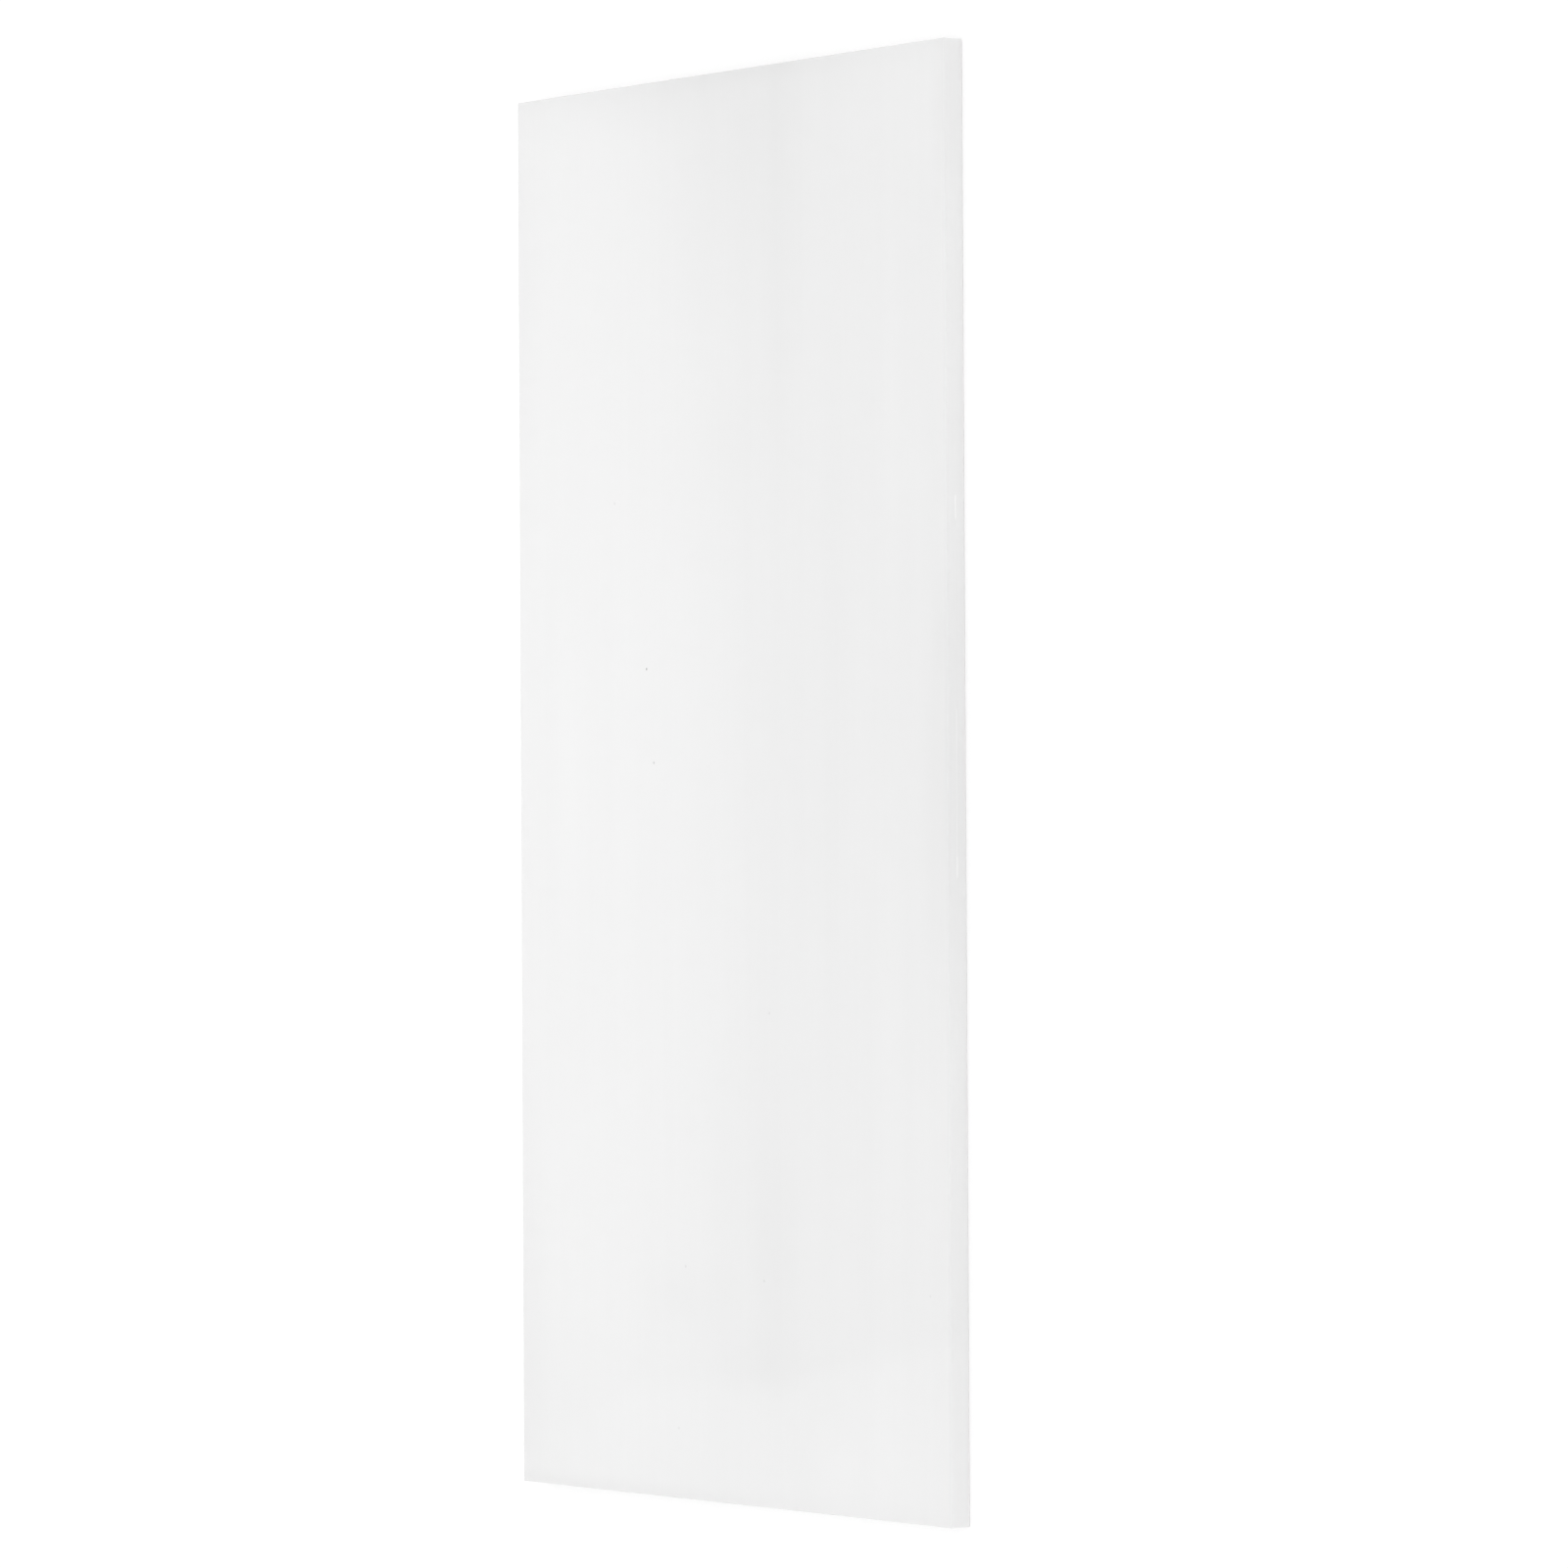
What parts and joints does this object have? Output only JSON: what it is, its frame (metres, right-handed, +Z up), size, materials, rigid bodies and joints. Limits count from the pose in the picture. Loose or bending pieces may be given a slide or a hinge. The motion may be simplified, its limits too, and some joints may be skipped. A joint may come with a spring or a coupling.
{
  "type": "uhmw plastic sheet",
  "caption": "Flat rectangular sheet of natural white UHMW polyethylene with scraped edges, for cutting into low-friction liners, wear strips and guides.",
  "frame": {"origin": "middle of the underside, on the surface that the sheet lies on", "axes": "+X across the width, +Y along the length, +Z up through the thickness, out of the broad upper face"},
  "size_m": [0.6096, 1.2192, 0.0191],
  "materials": {
    "natural_uhmw": "satin"
  },
  "bodies": {
    "root": {"sheet": "natural_uhmw"}
  },
  "joints": []
}
